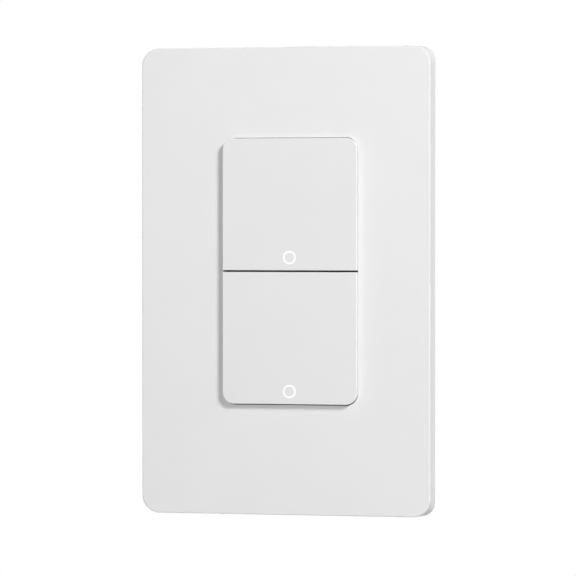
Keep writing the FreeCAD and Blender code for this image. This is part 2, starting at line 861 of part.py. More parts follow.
def make_relay(x):
    """One of the two relays, a sealed block on the power board."""
    y = (power_front_y - relay_depth, power_front_y)
    body = panel(span(x, relay_width), y, relay_z, relay_edge_radius)
    return rounded_at(body, y[0], relay_edge_radius)


def make_transformer_core():
    """Closed core of the small transformer."""
    y = (power_front_y - core_depth, power_front_y)
    z = span(row_z, core_height)
    whole = block(span(core_x, core_width), y, z)
    hollow = block(span(core_x, core_width), grown(y, -core_leg), grown(z, -core_leg))
    leg = bar_z(core_leg / 2, core_x, (y[0] + y[1]) / 2, z)
    return whole.cut(hollow).fuse(leg).removeSplitter()


def make_transformer_winding():
    """Winding round the core's middle leg."""
    core_y_middle = power_front_y - core_depth / 2
    limits = grown(span(row_z, core_height), -core_leg - winding_gap)
    coil = bar_z(core_depth / 2 - core_leg - winding_gap, core_x, core_y_middle, limits)
    return coil.cut(bar_z(core_leg / 2 + winding_gap, core_x, core_y_middle, limits))


def make_filter_capacitor():
    """Round capacitor that stands on the power board."""
    y = (power_front_y - capacitor_length, power_front_y)
    return rounded_at(bar_y(capacitor_radius, capacitor_x, row_z, y), y[0], capacitor_edge_radius)


def make_varistor():
    """Round surge absorber on two leads."""
    middle_y = power_front_y - varistor_lead_length - varistor_radius
    disc = bar_x(varistor_radius, middle_y, row_z, span(varistor_x, varistor_thickness))
    lead_y = (middle_y, power_front_y)
    heights = [row_z + side for side in both_sides(varistor_lead_spread)]
    return disc.fuse([bar_y(varistor_lead_radius, varistor_x, z, lead_y) for z in heights])


def make_fuse():
    """Tube fuse lying on the power board."""
    middle_y = power_front_y - fuse_cap_radius
    z = span(row_z, fuse_length)
    tube = bar_z(fuse_radius, fuse_x, middle_y, z)
    low_cap = bar_z(fuse_cap_radius, fuse_x, middle_y, (z[0], z[0] + fuse_cap_length))
    high_cap = bar_z(fuse_cap_radius, fuse_x, middle_y, (z[1] - fuse_cap_length, z[1]))
    return tube.fuse([low_cap, high_cap])


def make_rectifier():
    """Rectifier block on the power board."""
    y = (power_front_y - rectifier_depth, power_front_y)
    side_x = pin_row_width() / 2 + rectifier_beside_pins
    return block((side_x, side_x + rectifier_width), y, span(pin_row_z, rectifier_height))


def contact_slit(x, z_span):
    """Slit for the tail of one terminal contact."""
    y = grown((room_front_y, room_front_y + contact_thickness), contact_gap)
    return block(span(x, contact_tail_width + 2 * contact_gap), y, z_span)


def box_fillings():
    """Bosses, pillars and the walls of the terminal pocket that stand inside the box."""
    y = (wall_y, box_inner_y)
    walls_x = grown(terminal_block_x, pocket_gap + pocket_wall)
    walls_z = (box_z[0], pocket_roof_z + pocket_wall)
    fillings = [bar_y(boss_radius, x, z, y) for x, z in housing_screw_places()]
    fillings += [bar_y(pillar_radius, x, z, (power_back_y, box_inner_y)) for x, z in pillar_places()]
    fillings.append(block(walls_x, (pocket_floor_y - pocket_wall, box_inner_y), walls_z))
    return fillings


def box_openings():
    """Everything that is cut from the box: pocket, screw holes, vents and the blank label field."""
    recess_y = box_depth - housing_head_recess
    pocket_y = (pocket_floor_y, box_depth)
    label_y = (box_depth - label_depth, box_depth)
    cuts = [block(grown(terminal_block_x, pocket_gap), pocket_y, (box_z[0], pocket_roof_z))]
    cuts.append(block(span(0.0, label_width), label_y, span(label_z, label_height)))
    for x, z in housing_screw_places():
        cuts.append(bar_y(housing_screw_radius + screw_fit, x, z, (wall_y, box_depth)))
        cuts.append(bar_y(housing_screw_head_radius + head_gap, x, z, (recess_y, box_depth)))
    for x, z in pillar_places():
        cuts.append(bar_y(board_screw_radius + screw_fit, x, z, (power_back_y, box_inner_y)))
    for z in spread(vent_count, vent_pitch, vent_middle_z):
        cuts.append(block(box_x, (vent_start_y, vent_start_y + vent_length), span(z, vent_height)))
    slit_z = (pocket_roof_z, pocket_roof_z + pocket_wall)
    return cuts + [contact_slit(x, slit_z) for x in terminal_x]


def make_back_box():
    """Back housing with a pocket for the terminals and bosses for the long screws."""
    outer = panel(box_x, (wall_y, box_depth), box_z, box_corner_radius)
    outer = rounded_at(outer, box_depth, box_edge_radius)
    inner_radius = box_corner_radius - box_wall
    hollow = panel(grown(box_x, -box_wall), (wall_y, box_inner_y), grown(box_z, -box_wall), inner_radius)
    return outer.cut(hollow.cut(box_fillings())).cut(box_openings()).removeSplitter()


def make_housing_screws():
    """Four long screws that clamp the box to the yoke."""
    seat_y = box_depth - housing_head_recess
    length = seat_y - yoke_front_y
    sizes = (housing_screw_radius, length, housing_screw_head_radius, housing_screw_head_depth)
    return Part.makeCompound([screw(x, z, seat_y, 1, *sizes) for x, z in housing_screw_places()])


def make_terminal_block():
    """Insulating block with a wire bore, a clamping room and a screw well for each wire."""
    body = block(terminal_block_x, (terminal_front_y, box_depth), terminal_block_z)
    room_y = (room_front_y, room_back_y)
    room_z = (room_foot_z, room_top_z)
    well_floor_y = terminal_seat_y() - terminal_head_gap
    well_radius = terminal_screw_head_radius + pocket_gap
    hole_radius = terminal_screw_radius + screw_fit
    cuts = []
    for x in terminal_x:
        cuts.append(bar_z(wire_bore_radius, x, wire_y, (terminal_foot_z, room_foot_z)))
        cuts.append(block(span(x, terminal_room_width), room_y, room_z))
        cuts.append(bar_y(hole_radius, x, terminal_axis_z, (room_back_y, well_floor_y)))
        cuts.append(bar_y(well_radius, x, terminal_axis_z, (well_floor_y, box_depth)))
        cuts.append(contact_slit(x, (room_top_z, terminal_top_z)))
    return body.cut(cuts)


def terminal_seat_y():
    """Where the underside of a terminal screw's head lies."""
    return box_depth - terminal_head_recess - terminal_screw_head_depth


def make_terminal_screws():
    """One clamping screw for each wire."""
    length = terminal_seat_y() - clamp_front_y - clamp_thickness
    sizes = (terminal_screw_radius, length, terminal_screw_head_radius, terminal_screw_head_depth)
    return Part.makeCompound([screw(x, terminal_axis_z, terminal_seat_y(), 1, *sizes) for x in terminal_x])


def make_terminal_clamps():
    """Pressure plates at the screws' tips."""
    y = (clamp_front_y, clamp_front_y + clamp_thickness)
    z = grown((room_foot_z, room_top_z), -clamp_gap)
    return Part.makeCompound([block(span(x, terminal_room_width - 2 * clamp_gap), y, z) for x in terminal_x])


def make_terminal_contacts():
    """Brass strips under the wires, whose tails run up and back to the power board."""
    y = (room_front_y, room_front_y + contact_thickness)
    tail_top = pocket_roof_z + pocket_wall + contact_above_pocket
    foot_z = (tail_top - contact_thickness, tail_top)
    contacts = []
    for x in terminal_x:
        bed = block(span(x, contact_width), y, (room_foot_z + contact_gap, room_top_z))
        tail = block(span(x, contact_tail_width), y, (room_top_z - contact_gap, tail_top))
        foot = block(span(x, contact_tail_width), (y[0], power_front_y), foot_z)
        contacts.append(bed.fuse([tail, foot]).removeSplitter())
    return Part.makeCompound(contacts)


def make_all():
    """Every node by its name."""
    left_relay, right_relay = [make_relay(x) for x in both_sides((relay_width + relay_gap) / 2)]
    nodes = {
        "wall_plate": make_wall_plate(),
        "snap_frame": make_snap_frame(),
        "snap_frame_screws": make_snap_frame_screws(),
        "yoke": make_yoke(),
        "ground_screw": make_ground_screw(),
        "key_frame": make_key_frame(),
        "upper_key": make_key(upper_key_z, upper_key_z[1]),
        "lower_key": make_key(lower_key_z, lower_key_z[0]),
        "control_board": make_control_board(),
        "control_board_screws": make_board_screws(board_post_places(), control_back_y, 1),
        "control_chip": make_control_chip(),
        "radio_board": make_radio_board(),
        "radio_shield": make_radio_shield(),
        "board_socket": make_board_socket(),
        "board_pins": make_board_pins(),
        "power_board": make_power_board(),
        "power_board_screws": make_board_screws(pillar_places(), power_front_y, -1),
        "left_relay": left_relay,
        "right_relay": right_relay,
        "transformer_core": make_transformer_core(),
        "transformer_winding": make_transformer_winding(),
        "filter_capacitor": make_filter_capacitor(),
        "varistor": make_varistor(),
        "fuse": make_fuse(),
        "rectifier": make_rectifier(),
        "back_box": make_back_box(),
        "housing_screws": make_housing_screws(),
        "terminal_block": make_terminal_block(),
        "terminal_screws": make_terminal_screws(),
        "terminal_clamps": make_terminal_clamps(),
        "terminal_contacts": make_terminal_contacts(),
    }
    for side, key_z in (("upper", upper_key_z), ("lower", lower_key_z)):
        nodes[side + "_ring_lens"] = make_ring_lens(key_z)
        nodes[side + "_ring_cap"] = make_ring_cap(key_z)
        nodes[side + "_tact_switch"] = make_tact_switch(key_z)
        nodes[side + "_tact_plunger"] = make_tact_plunger(key_z)
        nodes[side + "_led"] = make_led(key_z)
    return nodes


os.makedirs("parts", exist_ok=True)
for node_name, node_shape in make_all().items():
    export(node_name, node_shape)
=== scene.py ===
import json
import math

import bmesh
import bpy
from mathutils import Matrix, Vector


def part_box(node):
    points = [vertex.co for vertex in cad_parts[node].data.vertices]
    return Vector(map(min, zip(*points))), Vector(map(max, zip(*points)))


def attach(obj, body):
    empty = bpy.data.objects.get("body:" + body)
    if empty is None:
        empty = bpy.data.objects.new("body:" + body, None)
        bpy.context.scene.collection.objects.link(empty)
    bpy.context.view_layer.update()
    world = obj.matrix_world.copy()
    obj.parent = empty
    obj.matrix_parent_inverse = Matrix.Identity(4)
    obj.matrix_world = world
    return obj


MM = 0.001

# The camera, from the photo's perspective: where it looks, from which side and how far away
CAMERA_TARGET = Vector((-0.62, 0.0, -1.84)) * MM
CAMERA_TURN = math.radians(13.5)
CAMERA_RISE = math.radians(0.95)
CAMERA_DISTANCE = 0.939
CAMERA_LENS = 227.8
SENSOR_WIDTH = 36.0

# Lamps: name, direction, distance, size, power and whether metal shows it
LAMPS = (
    ("main", (1.2, -1.0, 0.96), 1.25, 0.375, 15.1, True),
    ("rear", (-0.6, 0.85, 0.15), 1.4, 2.0, 17.0, False),
)

# The surround's light: a little from all round, and more from in front, a little left and below
SURROUND_ALL = 0.025
SURROUND_FRONT = 1.25
SURROUND_NARROWING = 3
SURROUND_FROM = Vector((-0.3, -1.0, -0.35)).normalized()

# The floor lies below the picture, and fades to white between two shares of its radius
FLOOR_Z = -0.62
FLOOR_RADIUS = 1.6
FLOOR_FADE = (0.3, 0.95)

# Scale at which a wave pattern repeats once in each unit
WAVE_SCALE = 0.314

# Moulding marks on the back box, in millimetres: parting line and ejector pins
PARTING_Y = 24.0
EJECTOR_X = 10.0
EJECTOR_Z = (24.5, -13.5)
EJECTOR_RADIUS = 2.0

# Small surface parts: length, height and depth of the body, and the length of its metal ends
SURFACE_PART = (1.6, 0.8, 0.5)
SURFACE_PART_END = 0.3

# Where they sit: their grid between socket and radio, and how far from the chip, lights and switches
SURFACE_COLUMNS = (-11.5, -8.0, -4.5, -1.0, 2.5, 6.0, 9.5)
SURFACE_ROWS = 4
SURFACE_ROW_SHIFT = 0.6
CHIP_ROWS = 5
BESIDE_CHIP = (1.6, 4.4)
BESIDE_LED = 3.6
BESIDE_SWITCH = 4.6
INSIDE_SWITCH_END = 1.2

# Solder joint from the board outwards: height and radius
SOLDER_PROFILE = ((0.0, 0.85), (0.1, 0.62), (0.28, 0.44), (0.55, 0.31), (0.72, 0.27), (1.02, 0.25), (1.1, 0.14))

# Solder joints' places: pins in the row, how far inside each large part's corners, and pairs either side
PIN_COUNT = 8
SOLDER_INSETS = {"left_relay": 1.6, "right_relay": 1.6, "transformer_core": 1.4, "rectifier": 0.8}
SOLDER_PAIRS = ("filter_capacitor", "varistor", "fuse")
SOLDER_PAIR_REACH = 2.5

# Aerial track on the radio's board: its width and depth, number of runs, and margins at sides and top
AERIAL_TRACK = (0.5, 0.04)
AERIAL_RUNS = 9
AERIAL_MARGIN = 1.2
AERIAL_TOP_MARGIN = 1.0


class Finish:
    """A procedural material: one shader fed by patterns on the object's own millimetres."""

    def __init__(self, name, roughness, metallic=0.0):
        self.material = bpy.data.materials.new(name)
        self.material.use_nodes = True
        self.tree = self.material.node_tree
        self.shader = self.tree.nodes["Principled BSDF"]
        self.shader.inputs["Roughness"].default_value = roughness
        self.shader.inputs["Metallic"].default_value = metallic
        self.place = self.node("ShaderNodeTexCoord").outputs["Object"]
        self.normal = None

    def node(self, kind, **settings):
        made = self.tree.nodes.new(kind)
        for key, value in settings.items():
            setattr(made, key, value)
        return made

    def link(self, start, end):
        self.tree.links.new(start, end)

    def scaled(self, size, stretch=(1, 1, 1), turn=(0, 0, 0)):
        """The object's place in units of a pattern's size in millimetres."""
        mapping = self.node("ShaderNodeMapping")
        mapping.inputs["Scale"].default_value = [1 / (size * MM * part) for part in stretch]
        mapping.inputs["Rotation"].default_value = turn
        self.link(self.place, mapping.inputs["Vector"])
        return mapping.outputs["Vector"]

    def noise(self, size, detail=2.0, stretch=(1, 1, 1), roughness=0.5):
        pattern = self.node("ShaderNodeTexNoise")
        pattern.inputs["Scale"].default_value = 1.0
        pattern.inputs["Detail"].default_value = detail
        pattern.inputs["Roughness"].default_value = roughness
        self.link(self.scaled(size, stretch), pattern.inputs["Vector"])
        return pattern.outputs["Fac"]

    def cells(self, size, feature="F1", output="Distance", stretch=(1, 1, 1)):
        pattern = self.node("ShaderNodeTexVoronoi", feature=feature)
        pattern.inputs["Scale"].default_value = 1.0
        self.link(self.scaled(size, stretch), pattern.inputs["Vector"])
        return pattern.outputs[output]

    def bands(self, size, direction, distortion=0.0, profile="SIN"):
        pattern = self.node("ShaderNodeTexWave", bands_direction=direction, wave_profile=profile)
        pattern.inputs["Scale"].default_value = WAVE_SCALE
        pattern.inputs["Distortion"].default_value = distortion
        self.link(self.scaled(size), pattern.inputs["Vector"])
        return pattern.outputs["Fac"]

    def tracks(self, pitch, run, turn):
        """Straight conductors in the board's plane, broken off here and there."""
        pattern = self.node("ShaderNodeTexBrick", offset=0.37)
        for name, value in (("Scale", 1.0), ("Mortar Size", 0.09), ("Mortar Smooth", 0.1),
                            ("Brick Width", run / pitch), ("Row Height", 1.0)):
            pattern.inputs[name].default_value = value
        self.link(self.scaled(pitch, turn=(math.pi / 2, *turn)), pattern.inputs["Vector"])
        field = self.node("ShaderNodeSeparateColor")
        self.link(self.cells(pitch * 3.5, output="Color"), field.inputs["Color"])
        kept = self.between(field.outputs["Green"], 0.48, 0.5)
        return self.math("MULTIPLY", pattern.outputs["Fac"], kept)

    def axis(self, name):
        """One coordinate of the object's place, in millimetres."""
        parts = self.node("ShaderNodeSeparateXYZ")
        self.link(self.scaled(1.0), parts.inputs["Vector"])
        return parts.outputs[name]

    def math(self, operation, first, second):
        made = self.node("ShaderNodeMath", operation=operation)
        for socket, value in zip(made.inputs, (first, second)):
            if isinstance(value, (int, float)):
                socket.default_value = value
            else:
                self.link(value, socket)
        return made.outputs["Value"]

    def between(self, value, low, high, start=0.0, end=1.0):
        """The value's range low..high carried over to start..end."""
        made = self.node("ShaderNodeMapRange")
        self.link(value, made.inputs["Value"])
        for socket, number in zip(("From Min", "From Max", "To Min", "To Max"), (low, high, start, end)):
            made.inputs[socket].default_value = number
        return made.outputs["Result"]

    def mix(self, share, first, second):
        """A colour between two, each a tuple or a socket."""
        made = self.node("ShaderNodeMix", data_type="RGBA")
        self.link(share, made.inputs["Factor"])
        colours = [socket for socket in made.inputs if socket.type == "RGBA"]
        for socket, value in zip(colours, (first, second)):
            if isinstance(value, tuple):
                socket.default_value = (*value, 1.0)
            else:
                self.link(value, socket)
        return [socket for socket in made.outputs if socket.type == "RGBA"][0]

    def edges(self, radius, low=0.0, high=0.25):
        """High along sharp and rounded edges, where a surface wears."""
        bevel = self.node("ShaderNodeBevel", samples=4)
        bevel.inputs["Radius"].default_value = radius * MM
        plain = self.node("ShaderNodeNewGeometry").outputs["Normal"]
        product = self.node("ShaderNodeVectorMath", operation="DOT_PRODUCT")
        self.link(bevel.outputs["Normal"], product.inputs[0])
        self.link(plain, product.inputs[1])
        return self.between(self.math("SUBTRACT", 1.0, product.outputs["Value"]), low, high)

    def colour(self, source):
        self.link(source, self.shader.inputs["Base Color"])

    def rough(self, value, low, high, start, end):
        self.link(self.between(value, low, high, start, end), self.shader.inputs["Roughness"])

    def raise_by(self, height, depth):
        """A relief of the given depth in millimetres, on top of the reliefs before it."""
        bump = self.node("ShaderNodeBump")
        bump.inputs["Distance"].default_value = depth * MM
        self.link(height, bump.inputs["Height"])
        if self.normal is not None:
            self.link(self.normal, bump.inputs["Normal"])
        self.normal = bump.outputs["Normal"]
        self.link(self.normal, self.shader.inputs["Normal"])

    def set(self, **values):
        for key, value in values.items():
            self.shader.inputs[key.replace("_", " ")].default_value = value


def grey(value):
    return (value, value, value)


def moulding(name, dark, pale, grain, roughness, relief=0.006):
    """Injection moulded plastic: fine spark texture, slow mottling and a faint flow of colour."""
    finish = Finish(name, roughness)
    flow = finish.noise(14.0, detail=3.0)
    finish.colour(finish.mix(finish.between(flow, 0.3, 0.7), dark, pale))
    finish.rough(finish.noise(2.4, detail=2.0), 0.3, 0.7, roughness - 0.05, roughness + 0.05)
    finish.raise_by(finish.noise(grain * 6, detail=2.0), relief)
    finish.raise_by(finish.noise(grain, detail=3.0, roughness=0.6), relief)
    return finish


def metal(name, dark, pale, roughness, streak=(1, 1, 1), patch=4.0, wear=None):
    """Plated or bare metal: patches of tone, fine streaks, small pits and rubbed edges."""
    finish = Finish(name, roughness, metallic=1.0)
    patches = finish.noise(patch, detail=4.0)
    tone = finish.mix(finish.between(patches, 0.35, 0.65), dark, pale)
    if wear:
        tone = finish.mix(finish.edges(0.12), tone, wear)
    finish.colour(tone)
    lines = finish.noise(0.25, detail=3.0, stretch=streak)
    finish.rough(lines, 0.3, 0.7, roughness - 0.08, roughness + 0.1)
    finish.raise_by(lines, 0.004)
    finish.raise_by(finish.cells(0.5), 0.003)
    return finish


def plate_plastic():
    finish = moulding("plate_plastic", grey(0.806), grey(0.818), 0.16, 0.46, 0.003)
    finish.set(Specular_IOR_Level=0.4)
    return finish


def key_plastic():
    finish = moulding("key_plastic", grey(0.795), grey(0.805), 0.14, 0.42, 0.0025)
    finish.set(Specular_IOR_Level=0.4)
    return finish


# Painted shade: near-black instead of the frame's pale grey, so the narrow gaps between the keys read as deep shadow
def frame_plastic():
    return moulding("frame_plastic", (0.075, 0.075, 0.079), (0.095, 0.095, 0.1), 0.25, 0.6)


def box_plastic():
    """Pale grey housing with its parting line and the rings of the ejector pins on its back."""
    finish = moulding("box_plastic", (0.60, 0.60, 0.59), (0.66, 0.66, 0.65), 0.35, 0.55, 0.012)
    finish.raise_by(finish.cells(0.6), 0.006)
    depth = finish.axis("Y")
    beside_line = finish.math("ABSOLUTE", finish.math("SUBTRACT", depth, PARTING_Y), 0.0)
    finish.raise_by(finish.between(beside_line, 0.06, 0.14, 1.0, 0.0), 0.05)
    middle = sum(EJECTOR_Z) / 2
    half = (EJECTOR_Z[0] - EJECTOR_Z[1]) / 2
    across = finish.math("SUBTRACT", finish.math("ABSOLUTE", finish.axis("X"), 0.0), EJECTOR_X)
    height = finish.math("ABSOLUTE", finish.math("SUBTRACT", finish.axis("Z"), middle), 0.0)
    up = finish.math("SUBTRACT", height, half)
    square = finish.math("ADD", finish.math("MULTIPLY", across, across), finish.math("MULTIPLY", up, up))
    away = finish.math("SUBTRACT", finish.math("SQRT", square, 0.0), EJECTOR_RADIUS)
    ring = finish.between(finish.math("ABSOLUTE", away, 0.0), 0.05, 0.15, 1.0, 0.0)
    on_back = finish.between(depth, PARTING_Y, PARTING_Y + 0.1)
    finish.raise_by(finish.math("MULTIPLY", ring, on_back), 0.05)
    return finish


def terminal_plastic():
    return moulding("terminal_plastic", (0.030, 0.030, 0.034), (0.045, 0.045, 0.05), 0.3, 0.5, 0.012)


def black_plastic():
    return moulding("black_plastic", grey(0.018), grey(0.03), 0.12, 0.5, 0.005)


def plunger_plastic():
    return moulding("plunger_plastic", (0.70, 0.68, 0.62), (0.76, 0.74, 0.68), 0.1, 0.4, 0.003)


def relay_plastic():
    finish = moulding("relay_plastic", (0.03, 0.075, 0.28), (0.04, 0.10, 0.34), 0.2, 0.32, 0.004)
    finish.set(Coat_Weight=0.3, Coat_Roughness=0.2)
    return finish


def lens_plastic():
    """Milky light guide with a soft even glow."""
    finish = Finish("lens_plastic", 0.35)
    cloud = finish.noise(0.5, detail=2.0)
    finish.colour(finish.mix(finish.between(cloud, 0.3, 0.7), grey(0.93), grey(0.96)))
    finish.rough(cloud, 0.3, 0.7, 0.3, 0.42)
    finish.raise_by(finish.noise(0.08, detail=2.0), 0.002)
    finish.set(Emission_Color=(1.0, 1.0, 1.0, 1.0), Emission_Strength=0.13)
    return finish


def galvanised_steel():
    """Zinc coated strip with its crystal pattern and rolling streaks."""
    finish = Finish("galvanised_steel", 0.36, metallic=1.0)
    spangle = finish.cells(3.5, output="Color")
    value = finish.node("ShaderNodeSeparateColor")
    finish.link(spangle, value.inputs["Color"])
    crystal = value.outputs["Red"]
    tone = finish.mix(crystal, (0.50, 0.51, 0.52), (0.64, 0.65, 0.66))
    finish.colour(finish.mix(finish.edges(0.15), tone, (0.80, 0.80, 0.80)))
    finish.rough(crystal, 0.0, 1.0, 0.28, 0.46)
    finish.raise_by(finish.noise(0.3, detail=3.0, stretch=(1, 1, 30)), 0.004)
    finish.raise_by(crystal, 0.004)
    return finish


def shield_steel():
    return metal("shield_steel", grey(0.60), grey(0.70), 0.3, streak=(20, 1, 1))


def screw_steel():
    return metal("screw_steel", (0.46, 0.47, 0.49), (0.60, 0.61, 0.62), 0.3, patch=1.2, wear=(0.8, 0.8, 0.8))


def clamp_steel():
    return metal("clamp_steel", (0.48, 0.47, 0.44), (0.60, 0.59, 0.56), 0.34, patch=2.0, wear=(0.8, 0.8, 0.78))


def screw_brass():
    return metal("screw_brass", (0.55, 0.38, 0.14), (0.74, 0.56, 0.26), 0.28, patch=1.0, wear=(0.9, 0.75, 0.42))


def contact_brass():
    return metal("contact_brass", (0.52, 0.37, 0.15), (0.70, 0.53, 0.26), 0.34, streak=(1, 1, 20))


def green_paint():
    finish = metal("green_paint", (0.02, 0.16, 0.05), (0.04, 0.26, 0.09), 0.34, patch=1.0, wear=(0.30, 0.42, 0.32))
    finish.set(Metallic=0.75)
    return finish


def laminate(name, mask_dark, mask_pale, track):
    """Lacquered circuit board: straight tracks and vias under the lacquer, and the glass cloth's weave."""
    finish = Finish(name, 0.28)
    weave = finish.math("MULTIPLY", finish.bands(0.45, "X"), finish.bands(0.45, "Z"))
    base = finish.mix(finish.between(weave, 0.0, 1.0), mask_dark, mask_pale)
    routes = finish.math("MAXIMUM", finish.tracks(1.27, 3.2, (0, 0)), finish.tracks(1.9, 5.0, (0, math.pi / 2)))
    spots = finish.cells(2.6)
    vias = finish.math("MULTIPLY", finish.between(spots, 0.10, 0.12), finish.between(spots, 0.17, 0.19, 1.0, 0.0))
    lines = finish.math("MAXIMUM", routes, vias)
    finish.colour(finish.mix(lines, base, track))
    finish.rough(finish.noise(3.0), 0.3, 0.7, 0.22, 0.34)
    finish.raise_by(lines, 0.03)
    finish.raise_by(weave, 0.006)
    finish.set(Coat_Weight=0.6, Coat_Roughness=0.12)
    return finish


def board_laminate():
    return laminate("board_laminate", (0.015, 0.10, 0.04), (0.02, 0.13, 0.05), (0.05, 0.26, 0.10))


def radio_laminate():
    return laminate("radio_laminate", (0.01, 0.03, 0.10), (0.015, 0.04, 0.13), (0.04, 0.09, 0.24))


def core_iron():
    """Pressed ferrite: dark, grainy and slightly chipped."""
    finish = Finish("core_iron", 0.55, metallic=0.3)
    grain = finish.noise(0.2, detail=4.0)
    tone = finish.mix(finish.between(grain, 0.3, 0.7), grey(0.05), grey(0.09))
    finish.colour(finish.mix(finish.edges(0.2), tone, grey(0.16)))
    finish.rough(grain, 0.3, 0.7, 0.45, 0.65)
    finish.raise_by(grain, 0.02)
    return finish


def copper_winding():
    """Amber tape over turns of wire, with an overlap at each turn."""
    finish = Finish("copper_winding", 0.3)
    turns = finish.bands(0.4, "Z")
    laps = finish.bands(2.4, "Z", distortion=0.4, profile="SAW")
    base = finish.mix(turns, (0.42, 0.22, 0.03), (0.58, 0.36, 0.06))
    finish.colour(finish.mix(finish.between(laps, 0.9, 1.0), base, (0.34, 0.17, 0.02)))
    finish.rough(finish.noise(1.0), 0.3, 0.7, 0.22, 0.4)
    finish.raise_by(turns, 0.04)
    finish.raise_by(laps, 0.05)
    return finish


def capacitor_sleeve():
    """Shrunk sleeve with a pale band down one side and a soft waviness."""
    finish = Finish("capacitor_sleeve", 0.25)
    side = finish.between(finish.axis("X"), 6.2, 6.35)
    base = finish.mix(finish.noise(3.0), (0.012, 0.014, 0.03), (0.02, 0.022, 0.045))
    finish.colour(finish.mix(side, base, (0.5, 0.5, 0.52)))
    finish.rough(finish.noise(1.5), 0.3, 0.7, 0.18, 0.32)
    finish.raise_by(finish.noise(2.0, detail=1.0), 0.05)
    return finish


def varistor_coat():
    """Dipped epoxy with a soft orange-peel skin."""
    finish = Finish("varistor_coat", 0.3)
    finish.colour(finish.mix(finish.noise(2.0), (0.02, 0.08, 0.30), (0.03, 0.13, 0.42)))
    finish.rough(finish.noise(1.0), 0.3, 0.7, 0.22, 0.38)
    finish.raise_by(finish.noise(0.9, detail=1.0), 0.06)
    return finish


def fuse_glass():
    """Glass tube between two plated caps."""
    finish = Finish("fuse_glass", 0.08)
    low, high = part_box("fuse")
    middle = (low.z + high.z) / 2 / MM
    reach = (high.z - low.z) / 2 / MM
    away = finish.math("ABSOLUTE", finish.math("SUBTRACT", finish.axis("Z"), middle), 0.0)
    cap = finish.between(away, reach - 2.02, reach - 1.98)
    finish.colour(finish.mix(cap, (0.86, 0.90, 0.90), (0.62, 0.62, 0.60)))
    finish.link(cap, finish.shader.inputs["Metallic"])
    finish.link(finish.between(cap, 0.0, 1.0, 0.9, 0.0), finish.shader.inputs["Transmission Weight"])
    finish.rough(finish.noise(0.6), 0.3, 0.7, 0.05, 0.2)
    finish.raise_by(finish.noise(0.5), 0.006)
    return finish


def led_package():
    """White package round a yellow phosphor field."""
    finish = Finish("led_package", 0.4)
    field = finish.cells(1.4, stretch=(2.0, 1.0, 1.0))
    finish.colour(finish.mix(finish.between(field, 0.25, 0.3), (0.85, 0.62, 0.12), (0.86, 0.86, 0.83)))
    finish.rough(finish.noise(0.3), 0.3, 0.7, 0.3, 0.5)
    finish.raise_by(finish.noise(0.1), 0.003)
    return finish


FINISHES = (
    plate_plastic, key_plastic, frame_plastic, box_plastic, terminal_plastic, black_plastic,
    plunger_plastic, relay_plastic, lens_plastic, galvanised_steel, shield_steel, screw_steel,
    clamp_steel, screw_brass, contact_brass, green_paint, board_laminate, radio_laminate, core_iron,
    copper_winding, capacitor_sleeve, varistor_coat, fuse_glass, led_package,
)


def dress(frame):
    """Give every node the finish of the record's slot that it names."""
    made = {make.__name__: make().material for make in FINISHES}
    for piece in frame["record"]["subparts"]:
        node = frame["nodes"][piece["node"]]
        for slot in node.material_slots:
            slot.material = made[piece["material_slot"]]
    return made


def limits(name):
    """Lowest and highest corner of a node, in millimetres."""
    low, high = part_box(name)
    return Vector(low) / MM, Vector(high) / MM


def add_piece(name, mesh, slot, materials):
    """Turn a finished mesh into a piece that is fixed to the base."""
    bmesh.ops.recalc_face_normals(mesh, faces=mesh.faces)
    data = bpy.data.meshes.new(name)
    mesh.to_mesh(data)
    mesh.free()
    data.materials.append(materials[slot])
    piece = bpy.data.objects.new(name, data)
    bpy.context.scene.collection.objects.link(piece)
    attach(piece, "base")
    return piece


def add_block(mesh, low, high, softness):
    """Add a box with softened edges to a mesh."""
    middle = (Vector(low) + Vector(high)) / 2 * MM
    size = [abs(top - bottom) * MM for bottom, top in zip(low, high)]
    made = bmesh.ops.create_cube(mesh, size=1.0, matrix=Matrix.Translation(middle) @ Matrix.Diagonal((*size, 1.0)))
    edges = list({edge for vertex in made["verts"] for edge in vertex.link_edges})
    bmesh.ops.bevel(mesh, geom=edges, offset=softness * MM, segments=2, affect="EDGES", profile=0.5)


def add_turned(mesh, place, facing, profile, sides=16):
    """Add a turned shape along Y to a mesh, from heights and radii."""
    rings = []
    for height, radius in profile:
        ring = []
        for step in range(sides):
            angle = 2 * math.pi * step / sides
            offset = Vector((radius * math.cos(angle), facing * height, radius * math.sin(angle)))
            ring.append(mesh.verts.new((Vector(place) + offset) * MM))
        rings.append(ring)
    for low, high in zip(rings, rings[1:]):
        for step in range(sides):
            after = (step + 1) % sides
            mesh.faces.new((low[step], low[after], high[after], high[step]))
    mesh.faces.new(rings[0])
    mesh.faces.new(rings[-1])


